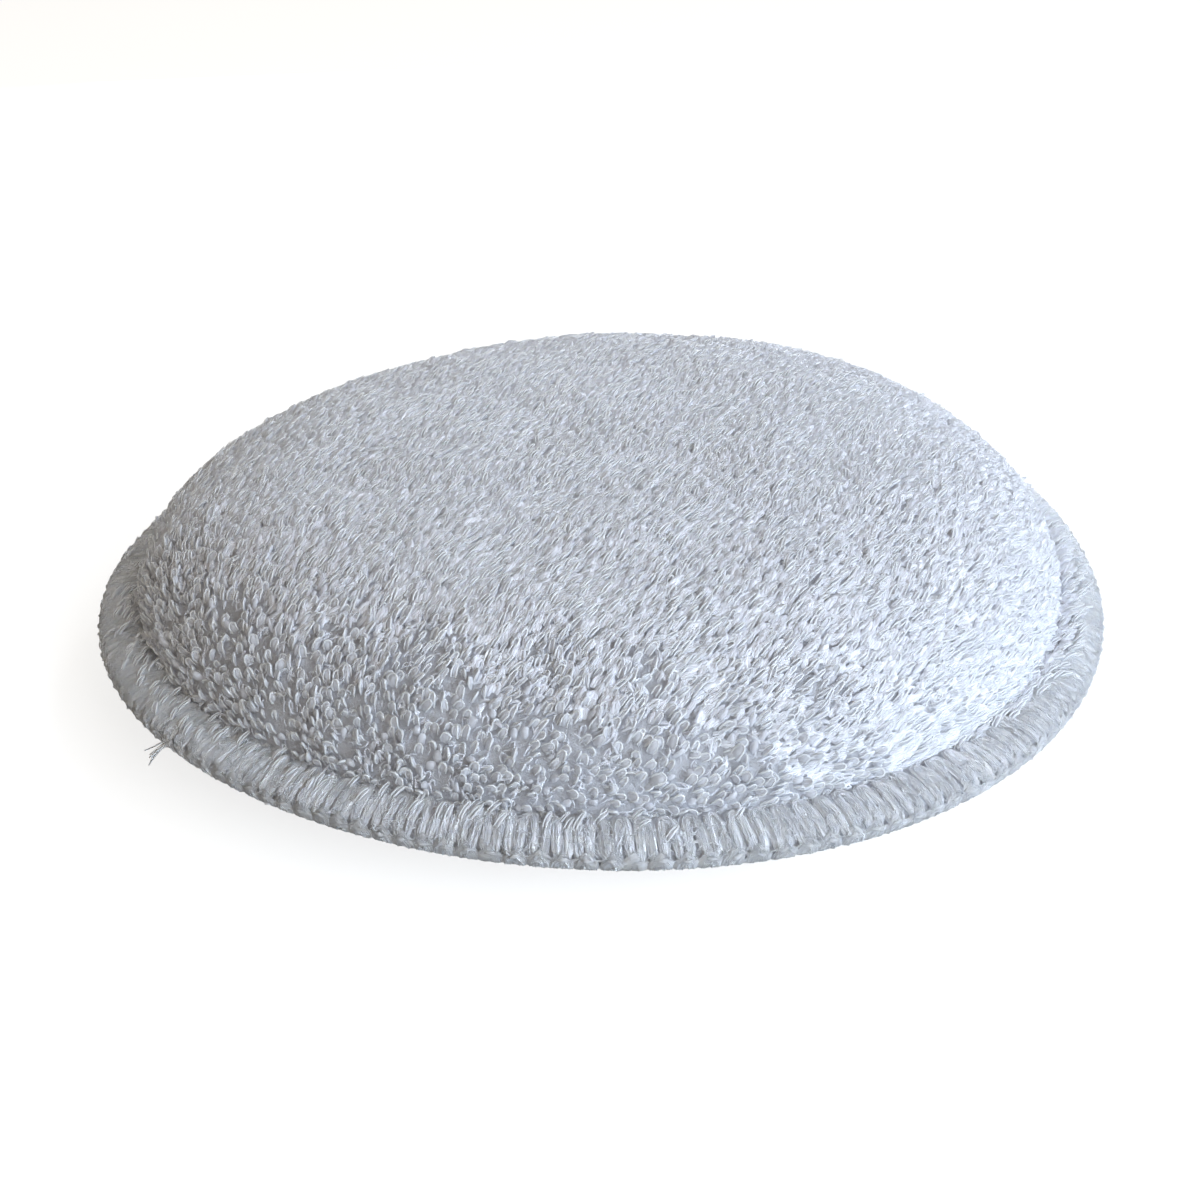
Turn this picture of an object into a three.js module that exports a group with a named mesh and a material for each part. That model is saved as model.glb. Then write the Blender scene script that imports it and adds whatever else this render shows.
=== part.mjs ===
// A round terry cloth applicator pad: two terry covers over a foam core, joined all round by a three-thread
// overlock seam. Millimetres, +Z up. The pad lies on its back at Z = 0, centred on the Z axis.
import * as THREE from "three";

// Driving dimensions
const padDiameter = 127;
const seamAllowance = 5.2; // from the edge of the pad in to the needle line
const crownHeight = 16.4; // face cover, above its flat seam allowance
const backCrownHeight = 7.3; // back cover, below its flat seam allowance, before the table flattens it
const restFlattening = 0.5;
const coverThickness = 2.6; // cloth and pile together
const coverSeamThickness = 1.6; // the same, squeezed under the stitches
const coreClearance = 0.3;

// The crown's outline is a superellipse: a larger power across makes a flatter top, one upwards a fuller shoulder
const crownAcrossPower = 4.2;
const crownUpPower = 2;

// Overlock seam
const stitchLength = 2.42;
const looperWidth = 0.85; // the bulky looper threads, as they lie
const looperThickness = 0.5;
const looperDrop = 0.7; // where the two looper threads meet, below the seam plane
const needleThreadDiameter = 0.5;
const needleThreadPinch = 0.32; // the needle thread's diameter where it goes into the cloth
const grooveDepth = 0.45; // how far the needle thread draws the cloth in
const threadClearance = 0.12;
const edgeRounding = 0.5; // on the outer corner of each cover

// The trimmed end of the stitch chain, left standing out of the edge
const tailAzimuth = THREE.MathUtils.degToRad(219);
const tailDroop = THREE.MathUtils.degToRad(24);
const tailLength = 2.6;
const tailRootDiameter = 0.9;
const tailTipDiameter = 0.4;

// Facets
const turnFacets = 64;
const crownFacets = 7;
const tailFacets = 8;

// Places worked out from the driving dimensions
const padRadius = padDiameter / 2;
const needleRadius = padRadius - seamAllowance;
const grooveHalfWidth = needleThreadDiameter / 2 + threadClearance;
const grooveInnerRadius = needleRadius - grooveHalfWidth;
const grooveOuterRadius = needleRadius + grooveHalfWidth;
const coverEdgeRadius = padRadius - looperThickness - threadClearance;
const seamHeight = backCrownHeight - restFlattening + coverSeamThickness;
const fullTurn = 2 * Math.PI;
const stitchCount = Math.round((fullTurn * padRadius) / stitchLength);
const stitchAngle = fullTurn / stitchCount;

const slots = {
  terry: new THREE.MeshStandardMaterial({ color: 0xe9edf3, roughness: 0.95, metalness: 0 }),
  foam: new THREE.MeshStandardMaterial({ color: 0xf0e9d2, roughness: 0.9, metalness: 0 }),
  thread: new THREE.MeshStandardMaterial({ color: 0xf2f5fa, roughness: 0.8, metalness: 0 }),
};

function named(name, geometry, material) {
  geometry.computeVertexNormals();
  const mesh = new THREE.Mesh(geometry, material);
  mesh.name = name;
  return mesh;
}

// Turns an outline of [radius, height] points about the Z axis. The outline runs from the axis to the axis,
// up the outside.
function turned(outline) {
  const points = outline.map(([radius, height]) => new THREE.Vector2(radius, height));
  return new THREE.LatheGeometry(points, turnFacets).rotateX(Math.PI / 2);
}

// A superellipse quarter from [radius, base] in to the axis at [0, base + rise]. A negative rise goes down.
function crownArc(radius, base, rise) {
  const points = [];
  for (let step = 0; step <= crownFacets; step++) {
    const turn = (step / crownFacets) * (Math.PI / 2);
    const across = Math.pow(Math.max(Math.cos(turn), 0), 2 / crownAcrossPower);
    const up = Math.pow(Math.sin(turn), 2 / crownUpPower);
    points.push([step === crownFacets ? 0 : radius * across, base + rise * up]);
  }
  return points;
}

// The same arc, cut flat at a height, which stands in for its flattened middle.
function flattenedArc(radius, base, rise, flatHeight) {
  const side = Math.sign(rise);
  const kept = [];
  for (const point of crownArc(radius, base, rise)) {
    const beyond = (point[1] - flatHeight) * side;
    if (beyond <= 0) {
      kept.push(point);
      continue;
    }
    const [lastRadius, lastHeight] = kept[kept.length - 1];
    const share = (flatHeight - lastHeight) / (point[1] - lastHeight);
    if (share > 0) kept.push([lastRadius + (point[0] - lastRadius) * share, flatHeight]);
    break;
  }
  kept.push([0, flatHeight]);
  return kept;
}

// One cover, from its seam plane outwards. side is 1 for the face, which crowns up, and -1 for the back.
function coverOutline(side, rise, flatten) {
  const flange = seamHeight + side * coverSeamThickness;
  const grooveFloor = flange - side * grooveDepth;
  const outerRise = side * (rise + grooveDepth);
  const tip = flange + side * (rise - flatten);
  const outer = flattenedArc(grooveInnerRadius, grooveFloor, outerRise, tip);
  const innerTip = tip - side * coverThickness;
  const inner = crownArc(grooveInnerRadius - coverThickness, seamHeight, innerTip - seamHeight);
  return [
    ...inner.reverse(),
    [coverEdgeRadius, seamHeight],
    [coverEdgeRadius, flange - side * edgeRounding],
    [coverEdgeRadius - edgeRounding, flange],
    [grooveOuterRadius, flange],
    [grooveOuterRadius, grooveFloor],
    ...outer,
  ];
}

function faceCover() {
  return named("face_cover", turned(coverOutline(1, crownHeight, 0)), slots.terry);
}

function backCover() {
  const outline = coverOutline(-1, backCrownHeight, restFlattening);
  return named("back_cover", turned(outline.reverse()), slots.terry);
}

// The foam disc fills the space between the covers and stops at the needle line.
function foamCore() {
  const radius = grooveInnerRadius - coverThickness - coreClearance;
  const up = coverSeamThickness + crownHeight - coverThickness - coreClearance;
  const down = seamHeight - coverThickness - coreClearance;
  const outline = [
    ...crownArc(radius, seamHeight, -down).reverse(),
    ...crownArc(radius, seamHeight, up).slice(1),
  ];
  return named("foam_core", turned(outline), slots.foam);
}

function onCircle(radius, angle, height) {
  return new THREE.Vector3(radius * Math.cos(angle), radius * Math.sin(angle), height);
}

// Joins rings of points round the pad into one closed tube. Each ring has its points in the same order.
function closedTube(rings) {
  const around = rings[0].length;
  const positions = rings.flat().flatMap((point) => point.toArray());
  const triangles = [];
  rings.forEach((_, ring) => {
    const here = ring * around;
    const next = ((ring + 1) % rings.length) * around;
    for (let corner = 0; corner < around; corner++) {
      const beside = (corner + 1) % around;
      triangles.push(here + corner, next + corner, next + beside);
      triangles.push(here + corner, next + beside, here + beside);
    }
  });
  const geometry = new THREE.BufferGeometry();
  geometry.setAttribute("position", new THREE.Float32BufferAttribute(positions, 3));
  geometry.setIndex(triangles);
  return geometry;
}

// A looper thread zigzags between the needle line and the edge of the pad, over one cover's seam allowance.
// Each station has a place and the way out of the cloth there. side is 1 on the face and -1 on the back, and
// the two threads' turns mesh along the edge like a zip's teeth.
function looperStations(side) {
  const tipRadius = grooveOuterRadius + looperWidth / 2;
  const level = seamHeight + side * (coverSeamThickness + threadClearance);
  const outerRadius = coverEdgeRadius + threadClearance;
  const dropHeight = seamHeight - looperDrop;
  const phase = side > 0 ? 0 : stitchAngle / 2;
  const away = new THREE.Vector3(0, 0, side);
  const stations = [];
  for (let stitch = 0; stitch < stitchCount; stitch++) {
    const start = phase + stitch * stitchAngle;
    const before = start + stitchAngle / 4;
    const turn = start + stitchAngle / 2;
    const after = turn + stitchAngle / 4;
    const leaning = (angle) => onCircle(1, angle, side).normalize();
    stations.push({ place: onCircle(tipRadius, start, level), out: away });
    stations.push({ place: onCircle(outerRadius, before, level), out: leaning(before) });
    stations.push({ place: onCircle(outerRadius, turn, dropHeight), out: onCircle(1, turn, 0) });
    stations.push({ place: onCircle(outerRadius, after, level), out: leaning(after) });
  }
  return stations;
}

// The thread lies flat on the cloth: its section is a low triangle with its base down.
function looperThread(name, side) {
  const stations = looperStations(side);
  const rings = stations.map(({ place, out }, index) => {
    const last = stations[(index + stations.length - 1) % stations.length].place;
    const next = stations[(index + 1) % stations.length].place;
    const along = next.clone().sub(last).normalize();
    const across = out.clone().cross(along).normalize();
    const left = place.clone().addScaledVector(across, looperWidth / 2);
    const right = place.clone().addScaledVector(across, -looperWidth / 2);
    const top = place.clone().addScaledVector(out, looperThickness);
    return [right, top, left];
  });
  return named(name, closedTube(rings), slots.thread);
}

// The needle thread lies in its groove on the face, pinched where each stitch goes into the cloth.
function needleThread() {
  const floor = seamHeight + coverSeamThickness - grooveDepth;
  const height = floor + threadClearance + needleThreadDiameter / 2;
  const rings = [];
  for (let half = 0; half < 2 * stitchCount; half++) {
    const angle = (half * stitchAngle) / 2;
    const thick = (half % 2 === 0 ? needleThreadPinch : needleThreadDiameter) / 2;
    rings.push([
      onCircle(needleRadius + thick, angle, height),
      onCircle(needleRadius, angle, height + thick),
      onCircle(needleRadius - thick, angle, height),
      onCircle(needleRadius, angle, height - thick),
    ]);
  }
  return named("overlock_needle_thread", closedTube(rings), slots.thread);
}

// The cut end of the stitch chain: a short tapered stub with a rounded tip, drooping out of the edge.
function threadTail() {
  const root = tailRootDiameter / 2;
  const tip = tailTipDiameter / 2;
  const points = [
    [0, 0],
    [root, 0],
    [root, tailRootDiameter],
    [tip, tailLength - tip],
    [0, tailLength],
  ].map(([radius, along]) => new THREE.Vector2(radius, along));
  const tail = named("thread_tail", new THREE.LatheGeometry(points, tailFacets), slots.thread);
  const rootCentre = padRadius + threadClearance + root * Math.sin(tailDroop);
  const out = onCircle(Math.cos(tailDroop), tailAzimuth, -Math.sin(tailDroop));
  tail.quaternion.setFromUnitVectors(new THREE.Vector3(0, 1, 0), out);
  tail.position.copy(onCircle(rootCentre, tailAzimuth, seamHeight - looperDrop));
  return tail;
}

const pad = new THREE.Group();
pad.add(
  faceCover(),
  backCover(),
  foamCore(),
  needleThread(),
  looperThread("overlock_upper_looper_thread", 1),
  looperThread("overlock_lower_looper_thread", -1),
  threadTail(),
);

export default pad;
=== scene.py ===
"""A round terry cloth applicator pad: looped pile on two covers over foam, with a fluffy overlocked edge.
Metres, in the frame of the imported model: +Z up, the pad lying on its back at Z = 0."""
import math

import bpy
import numpy as np
from mathutils import Matrix, Vector


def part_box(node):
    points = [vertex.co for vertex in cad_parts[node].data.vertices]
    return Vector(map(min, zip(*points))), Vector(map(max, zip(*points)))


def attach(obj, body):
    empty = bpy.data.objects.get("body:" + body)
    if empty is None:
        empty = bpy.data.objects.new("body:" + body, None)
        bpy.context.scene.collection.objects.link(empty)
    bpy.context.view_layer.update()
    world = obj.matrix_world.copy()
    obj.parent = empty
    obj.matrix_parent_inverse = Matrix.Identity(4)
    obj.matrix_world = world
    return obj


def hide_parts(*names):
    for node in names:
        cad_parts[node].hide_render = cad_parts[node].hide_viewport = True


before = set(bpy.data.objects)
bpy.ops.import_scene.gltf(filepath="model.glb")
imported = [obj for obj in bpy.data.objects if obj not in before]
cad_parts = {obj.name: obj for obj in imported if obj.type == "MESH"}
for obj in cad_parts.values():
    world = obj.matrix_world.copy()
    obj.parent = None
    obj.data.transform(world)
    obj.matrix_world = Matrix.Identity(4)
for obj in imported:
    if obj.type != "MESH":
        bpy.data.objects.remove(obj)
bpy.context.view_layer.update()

MM = 0.001
FULL_TURN = 2 * math.pi
UP = np.array([0.0, 0.0, 1.0])
random = np.random.default_rng(7)

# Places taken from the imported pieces
face_low, face_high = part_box("face_cover")
_, needle_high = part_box("overlock_needle_thread")
_, looper_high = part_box("overlock_upper_looper_thread")
tail_low, tail_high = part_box("thread_tail")

NEEDLE_THREAD = 0.5 * MM
PAD_RADIUS = looper_high.x
SEAM_HEIGHT = face_low.z
NEEDLE_RADIUS = needle_high.x - NEEDLE_THREAD / 2
CROWN_TOP = face_high.z

# The pad isn't quite round: how far its radius swells with the second and the third wave round it
ROUNDNESS_SHARES = ((2, 0.0051, 0.0025), (3, -0.0208, -0.0046))

# Covers
CROWN_ACROSS_POWER = 4.2
CROWN_UP_POWER = 2.0
PILE_HEIGHT = 0.3 * MM
BACK_PILE_HEIGHT = 0.9 * MM
GROUND_THICKNESS = 0.7 * MM
GROOVE_DEPTH = 0.15 * MM
GROOVE_HALF_WIDTH = 0.4 * MM
FOOT_INSET = 0.25 * MM
UNEVENNESS = 0.16 * MM
UNEVEN_WAVELENGTH = 17 * MM
PUCKER_DEPTH = 0.22 * MM
PUCKER_REACH = 4 * MM
PUCKER_COUNTS = (23, 31, 38, 47, 59)
CORE_CLEARANCE = 0.3 * MM
CORE_STEPS = 24
REST_FLATTENING = 0.5 * MM
SEAM_GAP = 0.05 * MM
TABLE_GAP = 0.05 * MM
CLOTH_AROUND = 256
CLOTH_STEP = 0.9 * MM
SLOPE_STEP = 0.1 * MM

# Seam allowance, whose section is half of a flattened oval
RIM_HALF_HEIGHT = 1.95 * MM
RIM_ACROSS_POWER = 2.4
RIM_UP_POWER = 2.2
YARN_DEPTH = 0.26 * MM

# Pile: a low fluff that fills the face, and on it taller loops with a soft middle and a yarn round it, tinted
# brighter than the pile as a painted highlight.
# Its rows are a pitch apart, and its loops are out of place by shares of that.
FLUFF_PITCH = 0.86 * MM
LOOP_PITCH = 1.13 * MM
BACK_PITCH = 1.12 * MM
STEP_PER_PITCH = 1.05
ROW_SCATTER = 0.16
STEP_SCATTER = 0.22
PILE_REACH = 0.3 * MM
MIDDLE_CLEARANCE = 0.3 * MM

# Sizes of the loops, where the pile lies over, on the walls where it stands, and on the back
LOOP_WIDTH = 0.64 * MM
LOOP_LIFT = 0.2 * MM
WALL_LOOP_LIFT = 0.12 * MM
LOOP_FILL_WIDTH = 0.66 * MM
LOOP_FILL_DEPTH = 0.21 * MM
WALL_FILL_DEPTH = 0.34 * MM
BACK_YARN = 0.4 * MM

# How the loops of each pile grow, where they lie over and where they stand, and then what is left to chance
# in each case: a share of a size, or an angle. early is 1 for loops that bend near their root. size is a
# loop's width, and for the tall loops a share of it.
FLUFF_GROWTH = {
    "sink": (0.55 * MM, 0.5 * MM),
    "length": (1.9 * MM, 1.45 * MM, 0.1, 0.2),
    "bend": (1.7, 1.7, 0.12, 0.25),
    "bend_limits": (1.0, 3.0),
    "early": (1, 1),
    "plane": (0, 0, 0.2, 0.5),
    "twist": (0, 0, 0.4, 0.7),
    "size": (0.4 * MM, 0.6 * MM, 0.2, 0.2),
    "yarn": (0.5 * MM, 0.2 * MM, 0.1, 0.1),
}
LOOP_GROWTH = {
    "sink": (0.7 * MM, 0.56 * MM),
    "length": (2.2 * MM, 1.6 * MM, 0.12, 0.18),
    "bend": (1.6, 1.65, 0.08, 0.25),
    "bend_limits": (0.6, 3.0),
    "early": (1, 0),
    "plane": (0, 0, 0.1, 0.35),
    "twist": (0, 0, 0.2, 0.4),
    "size": (0.62, 1.25, 0.12, 0.17),
    "yarn": (0.2 * MM, 0.25 * MM, 0.15, 0.15),
}
BACK_GROWTH = {
    "sink": (BACK_YARN / 2, BACK_YARN / 2),
    "length": (2.1 * MM, 2.1 * MM, 0.12, 0.12),
    "bend": (1.8, 1.8, 0.15, 0.15),
    "bend_limits": (0.6, 2.5),
    "early": (1, 1),
    "plane": (0, 0, 0, 0),
    "twist": (0, 0, 0.5, 0.5),
    "size": (0.55 * MM, 0.55 * MM, 0.15, 0.15),
    "yarn": (BACK_YARN, BACK_YARN, 0.1, 0.1),
}

# Which share of the loops is there, and which share of the tall ones shows the yarn round its edge
WALL_FLUFF_SHARE = 0.7
WALL_LOOP_SHARE = 0.84
YARN_SHARE = 0.95
WALL_YARN_SHARE = 0.85
LAID_YARN_SHARE = 0.2

# Where the pile stands: between which slopes against its lay, with patches of chance
STANDING_SLOPES = (0.21, 0.66)
STANDING_WANDER = 0.12
STANDING_PATCH = 9 * MM
# Where it lies flattest: the slopes along its lay between which it begins to, and between which it stops
LAID_SLOPES = (0, 0.3)
STEEP_SLOPES = (0.32, 0.55)
LAID_SINK = 0.18 * MM
# Which way it lies, and how far the loops turn out of that
LAY_AZIMUTH = math.radians(58)
LAY_TURN_AT_FRONT = math.radians(-7)
LAY_TURN_REACH = 45 * MM
HEADING_WANDER = 0.16
HEADING_PATCH = 14 * MM
LAID_TANGLE = 0.13
FLUFF_TANGLE = 0.8
LOOP_TANGLE = 0.3
BACK_TANGLE = 0.8
# Near the cover's foot the loops tangle less and turn outwards
LOW_START = 6 * MM
LOW_END = 0.5 * MM
LOW_CALM = 0.6
# How far the pile hangs over the seam on one side, less where it lies outwards, and fills the groove
OVERHANG = 3.3 * MM
LOW_OVERHANG = 1.5 * MM
OVERHANG_AZIMUTH = math.radians(25)
LAY_REACH = 1.6 * MM
GROOVE_FILL = 0.7 * MM
GROOVE_REACH = 1.3 * MM
# Stray loops between the stitches
STRAY_START = 0.6 * MM
STRAY_LIFT = 0.3 * MM
STRAY_REACH = 4.2 * MM
STRAY_SHARE = 0.3
STRAY_AZIMUTH = math.radians(200)

# How far along and how far out to its side a loop's yarn is at each of its rings
LOOP_SHARES = (
    (0, -0.6), (0.35, -0.92), (0.66, -1), (0.86, -0.82), (0.98, -0.38),
    (0.98, 0.38), (0.86, 0.82), (0.66, 1), (0.35, 0.92), (0, 0.6),
)
FLUFF_SHARES = ((0, -0.35), (0.4, -0.9), (0.8, -0.9), (1, 0), (0.8, 0.9), (0.4, 0.9), (0, 0.35))
BACK_LOOP_SHARES = ((0, -0.35), (0.5, -0.9), (0.92, -0.7), (0.92, 0.7), (0.5, 0.9), (0, 0.35))
# How far along a loop's soft middle is at each of its rings, and how thick it is there
FILL_SHARES = ((0, 0.8), (0.32, 0.95), (0.62, 1.0), (0.82, 0.92), (0.95, 0.65), (1.0, 0.3))
LOOP_SIDES = 4
FILL_SIDES = 6
FLUFF_SIDES = 5
BACK_PILE_SIDES = 4
WALK_STEPS = 25
FLUFF_SECTORS = 7
LOOP_SECTORS = 6
BACK_SECTORS = 3

# Stitches
STITCH_COUNT = 165
STITCH_ANGLE = FULL_TURN / STITCH_COUNT
STITCH_WANDER = 0.05
STITCH_STRETCH = 0.02
MOST_STRETCH = 1.05
KNOT_DROP = -0.25 * MM
RINGS_PER_STITCH = 16
SLANT = 0.12
LOOPER_HALF_WIDTH = 0.57 * MM
LOOPER_HALF_HEIGHT = 0.22 * MM
LOOPER_SIDES = 10
LOOPER_INSET = 0.2 * MM
LOWER_LOOPER_RISE = 0.1 * MM
FIBRE = 0.11 * MM
FIBRE_SIDES = 3
STRAND = 0.22 * MM
STRAND_SIDES = 4
# A looper thread's way through one stitch: how far through it, its turn as a share of the stitch, its reach
# as a share of the way to the edge, and the shares of its width that the upper and the lower thread have
STITCH_SHARES = (
    (0.0, 0.0, 0.0, 1.1, 1.1),
    (0.1, 0.16, 0.04, 1.05, 1.1),
    (0.2, 0.235, 0.25, 1.0, 1.1),
    (0.3, 0.25, 0.6, 0.95, 1.2),
    (0.42, 0.27, 0.93, 0.86, 1.5),
    (0.5, 0.5, 1.04, 0.5, 1.5),
    (0.58, 0.73, 0.93, 0.86, 1.5),
    (0.7, 0.75, 0.6, 0.95, 1.2),
    (0.8, 0.765, 0.25, 1.0, 1.1),
    (0.9, 0.84, 0.04, 1.05, 1.1),
    (1.0, 1.0, 0.0, 1.1, 1.1),
)
UPPER_FULLNESS, LOWER_FULLNESS = 3, 4
KNOT_RINGS_PER_STITCH = 14
KNOT_THICKNESS = 0.48 * MM
KNOT_SIDES = 6
KNOT_LIFT = 0.1 * MM
KNOT_WANDER = 0.08 * MM

NEEDLE_RINGS_PER_STITCH = 12
NEEDLE_DIP = 0.35 * MM
NEEDLE_LIFT = 0.1 * MM
PLY_HALF_THICKNESS = 0.27 * NEEDLE_THREAD

FUZZ_COUNT = 4600
FUZZ_LENGTH = 1.3 * MM
FUZZ_LENGTH_SHARES = (0.6, 1.3)
FUZZ_LIFT = 0.32 * MM
FUZZ_LIFT_SHARES = (0.3, 1.3)
FUZZ_SPREAD = 0.55
WILD_FUZZ_SPREAD = 1.6
FUZZ_RINGS = 6

# The trimmed end of the stitch chain
TAIL_STRANDS = 9
TAIL_RINGS = 9
TAIL_LENGTH = 2.3 * MM
TAIL_LENGTH_SHARES = (0.75, 1.1)
TAIL_DROOP = 1.1 * MM
TAIL_ROOT_DROP = 0.4 * MM
TAIL_SPREAD = 0.3 * MM

# Tints
TERRY_TINTS = (0.845, 0.855, 0.91), (0.895, 0.905, 0.96)
# The loops' crest yarn is tinted brighter than the terry: a painted highlight on the loop yarn
HIGHLIGHT_CREST_TINTS = (0.94, 0.955, 0.99), (0.97, 0.98, 1.0)
YARN_TINTS = (0.91, 0.92, 0.965), (0.98, 0.985, 1.0)
# The foam's own colour, darker and warmer in the cells' pits as painted shade
FOAM_AND_PIT_SHADE_TINTS = (0.78, 0.72, 0.56), (0.9, 0.86, 0.74)

# Studio, in metres, watts and pixels
FLOOR_SIZE = 4.0
FLOOR_GLOW = 0.75
FLOOR_COLOUR = (0.9, 0.9, 0.9)
FLOOR_BOUNCE = (0.35, 0.35, 0.35)
AMBIENT = 0.66
DIM_COLOUR = (0.015, 0.013, 0.006)
BRIGHT_COLOUR = (1.0, 0.89, 0.74)
BRIGHT_AZIMUTH = -45
DIM_EDGE = -0.5
# Each lamp's azimuth and elevation in degrees, distance, size, power and colour
LAMPS = {
    "key": (-47, 20, 0.4, 0.3, 0.91, (0.65, 0.82, 1.0)),
    "side": (0, 40, 0.4, 0.3, 0.24, (0.55, 0.7, 1.0)),
    "back": (95, 12, 0.4, 0.3, 0.4, (0.85, 0.93, 1.0)),
    "glint": (60, 45, 0.9, 0.15, 0.4, (0.85, 0.93, 1.0)),
}
SENSOR_WIDTH = 36
PICTURE_PIXELS = 1200
FOCAL_PIXELS = 1501
TARGET_PIXEL = (607.1, 556.4)
CAMERA_DISTANCE = 0.2
CAMERA_ELEVATION = math.radians(28.2)
CAMERA_ROLL = math.radians(-1.5)
NEAREST_SEEN = 0.01


def unit(vectors):
    return vectors / np.linalg.norm(vectors, axis=-1, keepdims=True)


def smooth_step(low, high, value):
    share = np.clip((value - low) / (high - low), 0, 1)
    return share * share * (3 - 2 * share)


def mix(first, second, share):
    return first + (second - first) * share


def roundness(angle):
    """How far the pad's outline swells in this direction, about 1."""
    swell = 1.0
    for waves, cosine, sine in ROUNDNESS_SHARES:
        swell = swell + cosine * np.cos(waves * angle) + sine * np.sin(waves * angle)
    return swell


def rolling(wavelength, waves=7):
    """A smooth random field over the plane, mostly from -1 to 1."""
    headings = random.uniform(0, FULL_TURN, waves)
    pitches = wavelength * random.uniform(0.7, 1.6, waves)
    phases = random.uniform(0, FULL_TURN, waves)

    def field(x, y):
        total = 0
        for heading, pitch, phase in zip(headings, pitches, phases):
            total = total + np.sin(FULL_TURN * (x * np.cos(heading) + y * np.sin(heading)) / pitch + phase)
        return total / math.sqrt(waves)

    return field


def soft_noise(count, width):
    """A smooth random walk about 0 that closes on itself."""
    raw = random.normal(0, 1, count)
    window = np.hanning(width + 2)[1:-1]
    window = window / np.linalg.norm(window)
    padded = np.concatenate([raw[-width:], raw, raw[:width]])
    return np.convolve(padded, window, mode="same")[width:-width]


class Outline:
    """A line in the plane of radius and height, walked by the distance along it."""

    def __init__(self, radius, height):
        self.radius = np.asarray(radius, float)
        self.height = np.asarray(height, float)
        steps = np.hypot(np.diff(self.radius), np.diff(self.height))
        self.distance = np.concatenate([[0], np.cumsum(steps)])
        self.length = self.distance[-1]

    def at(self, distance):
        radius = np.interp(distance, self.distance, self.radius)
        return radius, np.interp(distance, self.distance, self.height)


def superellipse(width, height, across_power, up_power, steps=160):
    """A quarter of a superellipse, from [0, height] out to [width, 0]."""
    turn = np.linspace(math.pi / 2, 0, steps)
    across = np.abs(np.cos(turn)) ** (2 / across_power)
    up = np.abs(np.sin(turn)) ** (2 / up_power)
    return width * across, height * up


def rim_outline(depth):
    """The seam allowance's section from the needle line on the face, round the edge, to it on the back."""
    start = NEEDLE_RADIUS + GROOVE_HALF_WIDTH
    width = PAD_RADIUS - depth - start
    across, up = superellipse(width, RIM_HALF_HEIGHT - depth, RIM_ACROSS_POWER, RIM_UP_POWER)
    radius = np.concatenate([across, across[-2::-1]]) + start
    height = np.concatenate([up, -up[-2::-1]]) + SEAM_HEIGHT
    return Outline(radius, height)


class Cover:
    """One terry cover. side is 1 for the face, which crowns up, and -1 for the back."""

    def __init__(self, side, crown_tip, pile_height):
        self.side = side
        self.pile_height = pile_height
        foot_radius = NEEDLE_RADIUS - FOOT_INSET
        foot = SEAM_HEIGHT + side * (RIM_HALF_HEIGHT - YARN_DEPTH - GROOVE_DEPTH)
        tip = crown_tip - side * pile_height
        across, up = superellipse(foot_radius, abs(tip - foot), CROWN_ACROSS_POWER, CROWN_UP_POWER)
        height = np.maximum(foot + side * up, pile_height)  # the table presses the back flat
        rim = rim_outline(YARN_DEPTH)
        half = len(rim.radius) // 2 + 1
        rim_height = SEAM_HEIGHT + side * (rim.height[:half] - SEAM_HEIGHT)
        self.foot_distance = Outline(across, height).length
        radii = np.concatenate([across, rim.radius[:half]])
        self.outline = Outline(radii, np.concatenate([height, rim_height]))
        self.uneven = rolling(UNEVEN_WAVELENGTH)
        self.pucker_waves = [(count, random.uniform(0, FULL_TURN)) for count in PUCKER_COUNTS]

    def swelling(self, distance, angle, x, y):
        """How far the cloth stands out of its even shape."""
        inside = 1 - smooth_step(0.9 * self.foot_distance, self.foot_distance, distance)
        near_foot = np.exp(-np.abs(distance - self.foot_distance + PUCKER_REACH) / PUCKER_REACH)
        puckers = sum(np.sin(count * angle + phase) for count, phase in self.pucker_waves)
        puckers = puckers / math.sqrt(len(self.pucker_waves))
        return inside * (UNEVENNESS * self.uneven(x, y) + PUCKER_DEPTH * near_foot * puckers)

    def at(self, across, along):
        """Points of the ground cloth. across and along are measured on the cut disc, laid flat."""
        distance = np.hypot(across, along)
        angle = np.arctan2(along, across)
        radius, height = self.outline.at(distance)
        ahead_radius, ahead_height = self.outline.at(distance + 2 * SLOPE_STEP)
        rise = np.arctan2(ahead_height - height, ahead_radius - radius) * self.side
        x = radius * np.cos(angle)
        y = radius * np.sin(angle)
        out = self.swelling(distance, angle, x, y)
        radius = (radius - out * np.sin(rise)) * roundness(angle)
        height = height + self.side * out * np.cos(rise)
        return np.stack([radius * np.cos(angle), radius * np.sin(angle), height], -1)

    def frame(self, across, along):
        """Points of the ground cloth, the cloth's own two directions there and the way out of it."""
        right = unit(self.at(across + SLOPE_STEP, along) - self.at(across - SLOPE_STEP, along))
        ahead = unit(self.at(across, along + SLOPE_STEP) - self.at(across, along - SLOPE_STEP))
        out = unit(np.cross(right, ahead)) * self.side
        return self.at(across, along), right, ahead, out


def cells(count, index, across, up):
    """Places on the bake's map, which is a square of count cells, at a share across and up a cell."""
    columns = math.ceil(math.sqrt(count))
    margin = 0.06
    u = (index % columns + margin + (1 - 2 * margin) * across) / columns
    v = (index // columns + margin + (1 - 2 * margin) * up) / columns
    return np.stack([u, v], -1)


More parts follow.
